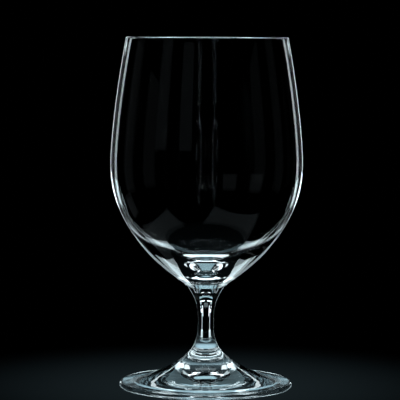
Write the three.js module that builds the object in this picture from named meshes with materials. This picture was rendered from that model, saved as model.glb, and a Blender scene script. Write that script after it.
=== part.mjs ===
// Stemmed water glass in clear soda-lime glass: a blown bowl, a drawn stem and a pressed foot.
// Each piece is shaped by itself and fused hot to the next one on a flat weld, square to the axis.
// Millimetres, +Z up. The origin is on the axis, level with the ring that the glass stands on.
import * as THREE from 'three';

// Foot
const FOOT_DIAMETER = 74;
const FOOT_HEIGHT = 18; // resting ring to the weld under the stem
const FOOT_EDGE_THICKNESS = 2.8;
const FOOT_EDGE_ROUND = 1; // how far the edge's upper corner is rounded in
const FOOT_EDGE_SLOPE = 4; // degrees from level, fall of the upper face at the edge
const RESTING_RING_INSET = 1.8; // foot edge to the flat ring that touches the table
const RESTING_RING_WIDTH = 3.6;
const UNDERSIDE_HOLLOW = 2.4; // rise of the underside from the ring to the axis

// Stem
const STEM_LENGTH = 25.3; // weld to weld
const STEM_WAIST_DIAMETER = 6.8;
const STEM_WAIST_HEIGHT = 11.2; // slimmest place, above the lower weld
const LOWER_WELD_DIAMETER = 10.5;
const LOWER_FLARE_ANGLE = 64.5; // degrees from level, where stem and foot run together
const UPPER_WELD_DIAMETER = 16;
const UPPER_FLARE_ANGLE = 53.5; // degrees from level, where the stem meets the bowl

// Bowl
const BOWL_HEIGHT = 106.7; // upper weld to the top of the lip
const BOWL_DIAMETER = 82.4; // outside, at the widest place
const BOWL_WIDEST_HEIGHT = 52.9; // above the upper weld
const RIM_DIAMETER = 69.5; // outside, where the lip starts to round over
const RIM_TAPER = 10.7; // degrees that the wall leans in at the rim
const FLANK_ANGLE = 33.8; // degrees from level, where the bowl leaves its weld
const BOWL_WALL = 1.5;
const BOWL_BASE_THICKNESS = 7.2; // solid glass between the weld and the inside

// Reach of the two end tangents of each curve, as shares of its chord
const FOOT_CURVE = [0.445, 0.165]; // edge, weld
const STEM_LOWER_CURVE = [0.422, 0.4]; // weld, waist
const STEM_UPPER_CURVE = [0.325, 0.475]; // waist, weld
const FLANK_CURVE = [0.365, 0.37]; // weld, widest place
const SHOULDER_CURVE = [0.156, 0.458]; // widest place, rim
const INNER_FLANK_CURVE = [0.53, 0.25]; // widest place, axis

// Facets
const SEGMENTS_ROUND = 48;
const CURVE_STEPS = 12;
const HOLLOW_STEPS = 8;
const LIP_STEPS = 6;
const EDGE_STEPS = 4;

// Levels along the axis
const lowerWeldZ = FOOT_HEIGHT;
const stemWaistZ = lowerWeldZ + STEM_WAIST_HEIGHT;
const upperWeldZ = lowerWeldZ + STEM_LENGTH;
const widestZ = upperWeldZ + BOWL_WIDEST_HEIGHT;
const insideBottomZ = upperWeldZ + BOWL_BASE_THICKNESS;
const lipZ = upperWeldZ + BOWL_HEIGHT;

// Radii that two pieces share
const lowerWeldRadius = LOWER_WELD_DIAMETER / 2;
const upperWeldRadius = UPPER_WELD_DIAMETER / 2;

// Directions along a profile, in degrees from outwards towards up
const UP = 90;
const INWARDS = 180;
const DOWN = 270;

const radians = THREE.MathUtils.degToRad;

function point(radius, level) {
  return new THREE.Vector2(radius, level);
}

function heading(degrees) {
  return point(Math.cos(radians(degrees)), Math.sin(radians(degrees)));
}

// Continues a profile to `end`, leaving and arriving in the given directions.
function sweepTo(profile, end, [leaving, arriving], [leavingReach, arrivingReach]) {
  const start = profile.at(-1);
  const chord = start.distanceTo(end);
  const firstHandle = start.clone().addScaledVector(heading(leaving), leavingReach * chord);
  const lastHandle = end.clone().addScaledVector(heading(arriving), -arrivingReach * chord);
  const curve = new THREE.CubicBezierCurve(start, firstHandle, lastHandle, end);
  profile.push(...curve.getPoints(CURVE_STEPS).slice(1));
}

// Continues a profile along an arc of an ellipse that starts where the profile stands.
function roundOver(profile, centre, radii, [from, to], steps) {
  const clockwise = to < from;
  const arc = new THREE.EllipseCurve(
    centre.x, centre.y, radii.x, radii.y, radians(from), radians(to), clockwise,
  );
  profile.push(...arc.getPoints(steps).slice(1));
}

// Revolves a closed half profile about +Z.
function revolve(profile) {
  return new THREE.LatheGeometry(profile, SEGMENTS_ROUND).rotateX(Math.PI / 2);
}

// Foot: a flat ring to stand on, a shallow hollow under it and a trumpet that runs up into the stem
function footGeometry() {
  const edgeRadius = FOOT_DIAMETER / 2;
  const halfEdge = FOOT_EDGE_THICKNESS / 2;
  const ringOuter = edgeRadius - RESTING_RING_INSET;
  const ringInner = ringOuter - RESTING_RING_WIDTH;
  const hollowRadius = (ringInner ** 2 + UNDERSIDE_HOLLOW ** 2) / (2 * UNDERSIDE_HOLLOW);
  const hollowTurn = THREE.MathUtils.radToDeg(Math.asin(ringInner / hollowRadius));

  const profile = [point(0, UNDERSIDE_HOLLOW)];
  roundOver(
    profile,
    point(0, UNDERSIDE_HOLLOW - hollowRadius),
    point(hollowRadius, hollowRadius),
    [UP, UP - hollowTurn],
    HOLLOW_STEPS,
  );
  profile.push(point(ringOuter, 0));
  roundOver(profile, point(ringOuter, halfEdge), point(RESTING_RING_INSET, halfEdge), [-90, 0], EDGE_STEPS);
  roundOver(
    profile,
    point(edgeRadius - FOOT_EDGE_ROUND, halfEdge),
    point(FOOT_EDGE_ROUND, halfEdge),
    [0, UP - FOOT_EDGE_SLOPE],
    EDGE_STEPS,
  );
  sweepTo(
    profile,
    point(lowerWeldRadius, lowerWeldZ),
    [INWARDS - FOOT_EDGE_SLOPE, INWARDS - LOWER_FLARE_ANGLE],
    FOOT_CURVE,
  );
  profile.push(point(0, lowerWeldZ));
  return revolve(profile);
}

// Stem: slimmest a little above its foot, flaring to a weld at each end
function stemGeometry() {
  const profile = [point(0, lowerWeldZ), point(lowerWeldRadius, lowerWeldZ)];
  sweepTo(
    profile,
    point(STEM_WAIST_DIAMETER / 2, stemWaistZ),
    [INWARDS - LOWER_FLARE_ANGLE, UP],
    STEM_LOWER_CURVE,
  );
  sweepTo(profile, point(upperWeldRadius, upperWeldZ), [UP, UPPER_FLARE_ANGLE], STEM_UPPER_CURVE);
  profile.push(point(0, upperWeldZ));
  return revolve(profile);
}

// Bowl: a thin wall that swells from a solid base and draws in to a fire-polished lip
function bowlGeometry() {
  const halfWall = BOWL_WALL / 2;
  const widestRadius = BOWL_DIAMETER / 2;
  const rimNormal = heading(RIM_TAPER);
  const lipCentre = point(RIM_DIAMETER / 2 - halfWall * rimNormal.x, lipZ - halfWall);
  const rimOuter = lipCentre.clone().addScaledVector(rimNormal, halfWall);

  const profile = [point(0, upperWeldZ), point(upperWeldRadius, upperWeldZ)];
  sweepTo(profile, point(widestRadius, widestZ), [FLANK_ANGLE, UP], FLANK_CURVE);
  sweepTo(profile, rimOuter, [UP, UP + RIM_TAPER], SHOULDER_CURVE);
  roundOver(profile, lipCentre, point(halfWall, halfWall), [RIM_TAPER, INWARDS + RIM_TAPER], LIP_STEPS);
  sweepTo(
    profile,
    point(widestRadius - BOWL_WALL, widestZ),
    [DOWN + RIM_TAPER, DOWN],
    [...SHOULDER_CURVE].reverse(),
  );
  sweepTo(profile, point(0, insideBottomZ), [DOWN, INWARDS], INNER_FLANK_CURVE);
  return revolve(profile);
}

function clearGlass() {
  return new THREE.MeshStandardMaterial({
    color: 0xe6eef0,
    roughness: 0.03,
    metalness: 0,
    transparent: true,
    opacity: 0.35,
  });
}

function piece(name, geometry) {
  const mesh = new THREE.Mesh(geometry, clearGlass());
  mesh.name = name;
  return mesh;
}

const waterGlass = new THREE.Group();
waterGlass.add(
  piece('bowl', bowlGeometry()),
  piece('stem', stemGeometry()),
  piece('foot', footGeometry()),
);

export default waterGlass;
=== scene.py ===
import math

import bmesh
import bpy
from mathutils import Matrix, Vector
from mathutils.geometry import interpolate_bezier


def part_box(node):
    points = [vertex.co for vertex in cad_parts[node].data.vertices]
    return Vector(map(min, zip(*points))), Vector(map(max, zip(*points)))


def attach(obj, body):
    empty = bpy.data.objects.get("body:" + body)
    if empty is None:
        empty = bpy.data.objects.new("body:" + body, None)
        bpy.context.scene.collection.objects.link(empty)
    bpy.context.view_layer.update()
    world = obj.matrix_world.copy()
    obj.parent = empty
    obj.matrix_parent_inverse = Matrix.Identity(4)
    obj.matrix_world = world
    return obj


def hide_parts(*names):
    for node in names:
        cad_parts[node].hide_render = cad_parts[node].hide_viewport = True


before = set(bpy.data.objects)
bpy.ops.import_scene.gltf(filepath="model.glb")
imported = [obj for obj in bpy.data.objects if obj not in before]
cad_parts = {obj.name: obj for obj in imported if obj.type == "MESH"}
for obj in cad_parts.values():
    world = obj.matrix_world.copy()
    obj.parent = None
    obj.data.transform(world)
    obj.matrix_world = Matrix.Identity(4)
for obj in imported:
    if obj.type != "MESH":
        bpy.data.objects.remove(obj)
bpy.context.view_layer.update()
scene = bpy.context.scene
print("frame:", ", ".join(sorted(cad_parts)))

mm = 0.001
touching = 1e-6  # metres; points closer than this are one
rounds = 192  # facets round the axis
outward, up, inward, down = 0, 90, 180, 270  # headings in degrees
black = (0.0, 0.0, 0.0, 1.0)


# shader sockets

class Wire:  # a socket that can be used in sums
    def __init__(self, socket):
        self.socket = socket
        self.tree = socket.id_data

    def make(self, kind, settings=None, values=None, output=0):  # any other node
        node = self.tree.nodes.new("ShaderNode" + kind)
        for name, value in (settings or {}).items():
            setattr(node, name, value)
        for name, value in (values or {}).items():
            if isinstance(value, Wire):
                self.tree.links.new(value.socket, node.inputs[name])
            else:
                node.inputs[name].default_value = value
        return Wire(node.outputs[output])

    def maths(self, operation, first, second):
        return self.make("Math", {"operation": operation}, {0: first, 1: second})

    def __add__(self, other):
        return self.maths("ADD", self, other)

    def __sub__(self, other):
        return self.maths("SUBTRACT", self, other)

    def __rsub__(self, other):
        return self.maths("SUBTRACT", other, self)

    def __mul__(self, other):
        return self.maths("MULTIPLY", self, other)

    __radd__ = __add__
    __rmul__ = __mul__


def newMaterial(name):  # an empty material, its output node and a first wire
    material = bpy.data.materials.new(name)
    material.use_nodes = True
    nodes = material.node_tree.nodes
    nodes.clear()
    output = nodes.new("ShaderNodeOutputMaterial")
    place = Wire(nodes.new("ShaderNodeTexCoord").outputs["Object"])
    return material, output, place


def finished(material, output, skin):
    material.node_tree.links.new(skin.socket, output.inputs["Surface"])
    return material


def noise(place, detail, scale=1.0):
    return place.make("TexNoise", None, {"Vector": place, "Scale": scale, "Detail": detail})


def gap(place, other=(0.0, 0.0, 0.0)):  # how far two places are apart
    return place.make("VectorMath", {"operation": "DISTANCE"}, {0: place, 1: other}, "Value")


def ramp(value, ends, start, end, kind="LINEAR"):  # from start to end as the value crosses the ends
    limits = {"From Min": ends[0], "From Max": ends[1], "To Min": start, "To Max": end}
    return value.make("MapRange", {"interpolation_type": kind}, {"Value": value, **limits})


def blend(factor, first, second):  # a colour between two
    colours = {0: factor, 6: first, 7: second}  # the node's sockets for colours
    return factor.make("Mix", {"data_type": "RGBA"}, colours, 2)


# glass

glass = {
    "ior": 1.52,
    "tint": (0.975, 0.992, 1.0, 1.0),
    "clear": (1.0, 1.0, 1.0, 1.0),
    "cloudScale": 30.0,
    "cloudDetail": 2.0,
    "smearScale": 55.0,
    "smearDetail": 4.0,
    "smear": (0.55, 0.75),  # noise where handling marks begin and are full
    "smearRoughness": 0.02,
}


def glassSkin(place, relief, depth, grain=None):  # clear glass with a faint relief in its surface
    cloud = noise(place, glass["cloudDetail"], glass["cloudScale"])
    smudge = noise(place, glass["smearDetail"], glass["smearScale"])
    polish = ramp(smudge, glass["smear"], 0.0, glass["smearRoughness"])
    if grain:
        polish = polish + grain
    return place.make(
        "BsdfPrincipled",
        None,
        {
            "Base Color": blend(cloud, glass["tint"], glass["clear"]),
            "Roughness": polish,
            "IOR": glass["ior"],
            "Transmission Weight": 1.0,
            "Normal": place.make("Bump", None, {"Distance": depth, "Height": relief}),
        },
    )


def weldFace(name):  # fused glass has no surface here
    material, output, place = newMaterial(name)
    skin = place.make("BsdfTransparent")
    return finished(material, output, skin)


# profiles are points (radius, level) in the XZ plane

def along(start, end, headings, reach, steps):  # a curve that leaves and arrives as told
    chord = (end - start).length
    leaving, arriving = (Vector((math.cos(a), math.sin(a))) for a in map(math.radians, headings))
    handles = start + leaving * reach[0] * chord, end - arriving * reach[1] * chord
    return [Vector(p) for p in interpolate_bezier(start, *handles, end, steps + 1)]


def arc(centre, radii, turn, steps):
    angles = [math.radians(turn[0] + (turn[1] - turn[0]) * i / steps) for i in range(steps + 1)]
    return [centre + Vector((radii[0] * math.cos(a), radii[1] * math.sin(a))) for a in angles]


def placed(name, shape, materials):
    mesh = bpy.data.meshes.new(name)
    shape.to_mesh(mesh)
    shape.free()
    for material in materials:
        mesh.materials.append(material)
    item = bpy.data.objects.new(name, mesh)
    scene.collection.objects.link(item)
    return item


def turned(name, runs, materials, weldLevels):  # weld faces take the second material
    points = [p for run in runs for p in run]
    shape = bmesh.new()
    corners = [shape.verts.new((max(p.x, 0.0), 0.0, p.y)) for p in points]
    pairs = zip(corners, corners[1:])
    chain = [shape.edges.new(pair) for pair in pairs if (pair[0].co - pair[1].co).length > touching]
    bmesh.ops.spin(
        shape, geom=corners + chain, axis=(0, 0, 1), cent=(0, 0, 0),
        angle=math.tau, steps=rounds, use_merge=True,
    )
    bmesh.ops.remove_doubles(shape, verts=shape.verts, dist=touching)
    bmesh.ops.recalc_face_normals(shape, faces=shape.faces)
    for face in shape.faces:
        levels = [v.co.z for v in face.verts]
        welded = any(all(abs(z - level) < touching for z in levels) for level in weldLevels)
        face.material_index = int(welded)
        face.smooth = not welded
    for edge in shape.edges:
        edge.smooth = not any(f.material_index for f in edge.link_faces)
    return placed(name, shape, materials)


bowl = {
    "widestLevel": 96.2 * mm,
    "rimRadius": 34.75 * mm,
    "rimTaper": 10.7,
    "flankAngle": 33.8,
    "wall": 1.5 * mm,
    "insideBottom": 50.5 * mm,
    "weldRadius": 8.0 * mm,
    "flankReach": (0.365, 0.37),
    "shoulderReach": (0.156, 0.458),
    "innerReach": (0.53, 0.25),
    "flankSteps": 56,
    "shoulderSteps": 48,
    "lipSteps": 16,
    "swellScale": 24.0,
    "swellDetail": 1.0,
    "swellDepth": 0.01 * mm,
}


def blownGlass():  # slow swells in the wall
    material, output, place = newMaterial("blownGlass")
    swell = noise(place, bowl["swellDetail"], bowl["swellScale"])
    return finished(material, output, glassSkin(place, swell, bowl["swellDepth"]))


def makeBowl(materials):
    low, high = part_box("bowl")
    half = bowl["wall"] / 2
    lean = bowl["rimTaper"]
    out = Vector((math.cos(math.radians(lean)), math.sin(math.radians(lean))))
    lowWeld = Vector((bowl["weldRadius"], low.z))
    widest = Vector((high.x, bowl["widestLevel"]))
    lip = Vector((bowl["rimRadius"] - half * out.x, high.z - half))
    inner = widest - Vector((bowl["wall"], 0))
    bottom = Vector((0, bowl["insideBottom"]))
    shoulder = bowl["shoulderReach"]
    runs = [
        [Vector((0, low.z)), lowWeld],
        along(lowWeld, widest, (bowl["flankAngle"], up), bowl["flankReach"], bowl["flankSteps"]),
        along(widest, lip + out * half, (up, up + lean), shoulder, bowl["shoulderSteps"]),
        arc(lip, (half, half), (lean, inward + lean), bowl["lipSteps"]),
        along(lip - out * half, inner, (down + lean, down), shoulder[::-1], bowl["shoulderSteps"]),
        along(inner, bottom, (down, inward), bowl["innerReach"], bowl["flankSteps"]),
    ]
    return turned("bowl_glass", runs, materials, (low.z,))


stem = {
    "waistRadius": 3.4 * mm,
    "waistLevel": 29.2 * mm,
    "footAngle": 64.5,
    "bowlAngle": 53.5,
    "footWeldRadius": 5.25 * mm,
    "lowerReach": (0.422, 0.4),
    "upperReach": (0.325, 0.475),
    "lowerSteps": 32,
    "upperSteps": 40,
    "streakScale": (450.0, 450.0, 30.0),
    "streakDetail": 2.0,
    "streakDepth": 0.008 * mm,
}


def drawnGlass():  # fine streaks along the pull
    material, output, place = newMaterial("drawnGlass")
    stretched = place.make("Mapping", None, {"Vector": place, "Scale": stem["streakScale"]})
    streak = noise(stretched, stem["streakDetail"])
    return finished(material, output, glassSkin(place, streak, stem["streakDepth"]))


def makeStem(materials):
    low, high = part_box("stem")
    lowWeld = Vector((stem["footWeldRadius"], low.z))
    waist = Vector((stem["waistRadius"], stem["waistLevel"]))
    highWeld = Vector((high.x, high.z))
    runs = [
        [Vector((0, low.z)), lowWeld],
        along(lowWeld, waist, (inward - stem["footAngle"], up), stem["lowerReach"], stem["lowerSteps"]),
        along(waist, highWeld, (up, stem["bowlAngle"]), stem["upperReach"], stem["upperSteps"]),
        [highWeld, Vector((0, high.z))],
    ]
    return turned("stem_glass", runs, materials, (low.z, high.z))


foot = {
    "edge": 2.8 * mm,
    "edgeRound": 1.0 * mm,
    "edgeSlope": 4.0,
    "ringInset": 1.8 * mm,  # the flat ring that it stands on
    "ringWidth": 3.6 * mm,
    "hollow": 2.4 * mm,
    "reach": (0.445, 0.165),
    "hollowSteps": 40,
    "edgeSteps": 12,
    "topSteps": 64,
    "pressScale": 80.0,
    "pressWander": 3.0,
    "pressDetail": 2.0,
    "pressDepth": 0.012 * mm,
    "grain": 0.05,
    "grainRadius": 31.6 * mm,
    "grainFade": (0.2 * mm, 0.6 * mm),
}


def pressedGlass():  # rings left by the press above, a fine grain underneath
    material, output, place = newMaterial("pressedGlass")
    rings = place.make(
        "TexWave",
        {"wave_type": "RINGS", "rings_direction": "Z"},
        {
            "Vector": place,
            "Scale": foot["pressScale"],
            "Distortion": foot["pressWander"],
            "Detail": foot["pressDetail"],
        },
        "Fac",
    )
    flat = place.make("VectorMath", {"operation": "MULTIPLY"}, {0: place, 1: (1.0, 1.0, 0.0)})
    out = gap(flat) * (1 / foot["grainRadius"])
    height = place.make("SeparateXYZ", None, {0: place}, "Z")
    over = height - (1 - out * out) * foot["hollow"]  # above the hollow underside
    grain = ramp(over, foot["grainFade"], foot["grain"], 0.0)
    return finished(material, output, glassSkin(place, rings, foot["pressDepth"], grain))


def makeFoot(materials):
    low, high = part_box("foot")
    half = foot["edge"] / 2
    ringOuter = high.x - foot["ringInset"]
    ringInner = ringOuter - foot["ringWidth"]
    dome = (ringInner ** 2 + foot["hollow"] ** 2) / (2 * foot["hollow"])
    turn = math.degrees(math.asin(ringInner / dome))
    top = Vector((stem["footWeldRadius"], high.z))
    upperEdge = arc(
        Vector((high.x - foot["edgeRound"], half)),
        (foot["edgeRound"], half),
        (outward, up - foot["edgeSlope"]),
        foot["edgeSteps"],
    )
    slopes = inward - foot["edgeSlope"], inward - stem["footAngle"]
    runs = [
        arc(Vector((0, foot["hollow"] - dome)), (dome, dome), (up, up - turn), foot["hollowSteps"]),
        [Vector((ringInner, low.z)), Vector((ringOuter, low.z))],
        arc(Vector((ringOuter, half)), (foot["ringInset"], half), (-up, outward), foot["edgeSteps"]),
        upperEdge,
        along(upperEdge[-1], top, slopes, foot["reach"], foot["topSteps"]),
        [top, Vector((0, high.z))],
    ]
    return turned("foot_glass", runs, materials, (high.z,))


weld = weldFace("weldFace")
for piece, node in (
    (makeBowl([blownGlass(), weld]), "bowl"),
    (makeStem([drawnGlass(), weld]), "stem"),
    (makeFoot([pressedGlass(), weld]), "foot"),
):
    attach(piece, "root")
    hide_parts(node)
print("glass pieces made")


# studio

photo = {  # metres, degrees, and millimetres for the lens
    "distance": 0.955,
    "height": 0.154,
    "pitch": 4.40,
    "yaw": 0.166,
    "roll": 0.28,
    "lens": 201.65,
}


def makeCamera():
    data = bpy.data.cameras.new("camera")
    data.lens = photo["lens"]
    camera = bpy.data.objects.new("camera", data)
    scene.collection.objects.link(camera)
    stand = Matrix.Translation((0, -photo["distance"], photo["height"]))
    turnRound = Matrix.Rotation(math.radians(photo["yaw"]), 4, "Z")
    tip = Matrix.Rotation(math.radians(90 - photo["pitch"]), 4, "X")
    roll = Matrix.Rotation(math.radians(photo["roll"]), 4, "Z")
    camera.matrix_world = stand @ turnRound @ tip @ roll
    scene.camera = camera


coolLight = (0.76, 0.94, 1.0)
whiteLight = (0.82, 0.95, 1.0)
blueLight = (0.55, 0.88, 1.0)
baseLevel = 0.05  # metres; tilted lamps face the base of the bowl
lowPanel = {"place": (0.0, 0.30, -0.35), "size": (0.56, 0.28), "colour": coolLight, "aim": baseLevel}

lamps = {  # metres; a lamp with a place off the middle has a twin on the other side
    "strip": {  # the lines along the walls
        "place": (0.565, 2.0, 0.11), "size": (0.14, 0.58), "level": 1.35, "colour": whiteLight,
    },
    "patch": {  # the lines down the sides of the foot
        "place": (0.98, 2.0, 0.35), "size": (0.18, 0.14), "level": 1.3, "colour": coolLight,
    },
    "high": {  # the middle of the foot
        "place": (0.85, 2.0, 0.80), "size": (0.25, 0.50), "level": 0.7, "colour": coolLight,
    },
    "stem": {  # the lines in the stem
        "place": (0.146, 0.39, -0.015), "size": (0.022, 0.13), "level": 0.9, "colour": whiteLight,
    },
    "side": {  # the lines in the stem and the glass beside the base
        "place": (0.15, 0.39, -0.155), "size": (0.08, 0.19), "level": 1.0, "colour": coolLight,
    },
    "flank": {  # the lower flanks and the sides of the foot
        "place": (0.158, 0.39, 0.04), "size": (0.070, 0.04), "level": 2.2, "colour": coolLight,
    },
    "corner": {  # the patches either side of the base
        "place": (0.182, 0.281, -0.32), "size": (0.115, 0.13), "level": 3.3, "colour": coolLight,
        "aim": baseLevel,
    },
    "below": {**lowPanel, "level": 2.3},  # the base, the rim and the top of the foot
    "top": {  # the bright spots in the foot
        "place": (0.095, 0.39, 0.192), "size": (0.13, 0.022), "level": 3.0, "colour": whiteLight,
    },
    "back": {  # the edge of the foot
        "place": (0.0, 2.0, 0.42), "size": (0.56, 0.36), "level": 0.15, "colour": coolLight,
    },
    "over": {  # a soft fill in the foot and under the bowl
        "place": (0.0, 2.0, 1.8), "size": (2.3, 0.7), "level": 0.75, "colour": blueLight,
        "aim": baseLevel,
    },
    "quarter": {  # from here on, the outline as seen from other sides
        "place": (0.62, 2.0, 0.05), "size": (0.60, 1.10), "level": 0.02, "colour": whiteLight,
        "turn": 90,
    },
    "rear": {
        "place": (0.62, 2.0, -0.42), "size": (0.60, 0.50), "level": 0.04, "colour": whiteLight,
        "turn": 225,
    },
    "belowQuarter": {**lowPanel, "level": 0.07, "turn": 90},
    "belowRear": {**lowPanel, "level": 0.07, "turn": 225},
    "front": {
        "place": (0.62, 2.0, -0.80), "size": (0.60, 0.50), "level": 0.03, "colour": whiteLight,
        "turn": 45,
    },
}


def softbox(name, lamp, side):
    width, height = lamp["size"]
    data = bpy.data.lights.new(name, "AREA")
    data.shape = "RECTANGLE"
    data.size, data.size_y = width, height
    data.energy = lamp["level"] * width * height * math.pi
    data.color = lamp["colour"]
    box = bpy.data.objects.new(name, data)
    x, y, z = lamp["place"]
    turn = Matrix.Rotation(math.radians(lamp.get("turn", 0)), 3, "Z")
    place = turn @ Vector((side * x, y, z))
    aim = Vector((0, 0, lamp.get("aim", z)))
    box.location = place
    box.rotation_euler = (aim - place).to_track_quat("-Z", "Y").to_euler()
    box.visible_camera = False
    scene.collection.objects.link(box)


floor = {  # metres
    "radius": 0.15,
    "level": -0.0002,
    "facets": 96,
    # the colour of the floor's painted glow
    "colour": (0.55, 0.86, 1.0, 1.0),
    "glow": 0.015,  # painted glow, as the camera sees it
    "fade": (0.02, 0.14),
    # inside this radius the floor is a painted lit disc, seen only through the glass
    "litDiscRadius": 0.036,
    "lightPool": 0.78,  # painted pool of light under the stem, towards the back
    "lightPoolAt": (0.0, 0.013, 0.0),
    "lightPoolFade": (0.003, 0.013),
    "sheen": (0.035, 1.0),  # painted sheen round the light pool, standing in for a reflection of the lamps: from above and at a low angle
    "sheenRise": (0.64, 0.84),
    "above": 0.17,  # looking down through the glass shows the floor's dim painted glow, as the camera sees it
    "paintedVeil": 0.18,  # painted veil of glow round the painted lit disc, at a low angle
    "paintedVeilFade": (0.040, 0.055),
}


def paintedGlowFloor():  # all of its light is painted in: a dim painted glow to the camera, a bright painted glow under the foot, clear to the lamps below
    material, output, place = newMaterial("paintedGlowFloor")
    far = gap(place)
    under = place.maths("LESS_THAN", far, floor["litDiscRadius"])
    facing = place.make("LayerWeight", None, None, "Facing")
    above = place.maths("LESS_THAN", facing, floor["above"]) * (1 - under)
    seen = place.maths("MAXIMUM", place.make("LightPath", None, None, "Is Camera Ray"), above)
    # the painted sheen rises as the floor is seen at a low angle
    low = ramp(facing, floor["sheenRise"], 0.0, 1.0, "SMOOTHSTEP")
    # painted pool of light under the stem, fading out from its middle
    lightPool = ramp(gap(place, floor["lightPoolAt"]), floor["lightPoolFade"], 1.0, 0.0, "SMOOTHSTEP")
    dim, bright = floor["sheen"]
    # painted light of the disc under the foot: the painted pool of light with the painted sheen round
    # it
    stand = lightPool * floor["lightPool"] + (1 - lightPool) * (dim + (bright - dim) * low)
    # painted veil of glow round the disc, seen at a low angle
    paintedVeil = ramp(far, floor["paintedVeilFade"], floor["paintedVeil"], 0.0, "SMOOTHSTEP") * low
    # the dim painted glow that the camera sees, fading out towards the edge
    fadingGlow = ramp(far, floor["fade"], floor["glow"], 0.0, "SMOOTHSTEP")
    level = seen * fadingGlow + (1 - seen) * (under * stand + (1 - under))
    solid = place.maths("MAXIMUM", place.maths("MAXIMUM", seen, under), paintedVeil)
    # the floor glows though it is no lamp: its light is painted in
    glow = place.make("Emission", None, {"Color": blend(level, black, floor["colour"])})
    gone = place.make("BsdfTransparent")
    skin = place.make("MixShader", None, {0: solid, 1: gone, 2: glow})
    return finished(material, output, skin)


def makeFloor():
    shape = bmesh.new()
    lowered = Matrix.Translation((0, 0, floor["level"]))
    bmesh.ops.create_circle(
        shape, cap_ends=True, segments=floor["facets"], radius=floor["radius"], matrix=lowered,
    )
    ground = placed("floor", shape, [paintedGlowFloor()])


def makeStudio():
    for name, lamp in lamps.items():
        for side in (-1, 1) if lamp["place"][0] else (1,):
            softbox(name, lamp, side)
    makeFloor()
    world = bpy.data.worlds.new("world")
    world.use_nodes = True
    world.node_tree.nodes["Background"].inputs["Color"].default_value = black
    scene.world = world


makeCamera()
makeStudio()
scene.view_settings.view_transform = "Standard"
bounces = {"through": 32, "gloss": 16}  # light crosses many walls before it leaves
scene.cycles.max_bounces = bounces["through"]
scene.cycles.transmission_bounces = bounces["through"]
scene.cycles.glossy_bounces = bounces["gloss"]
scene.cycles.transparent_max_bounces = bounces["through"]
print("studio made")
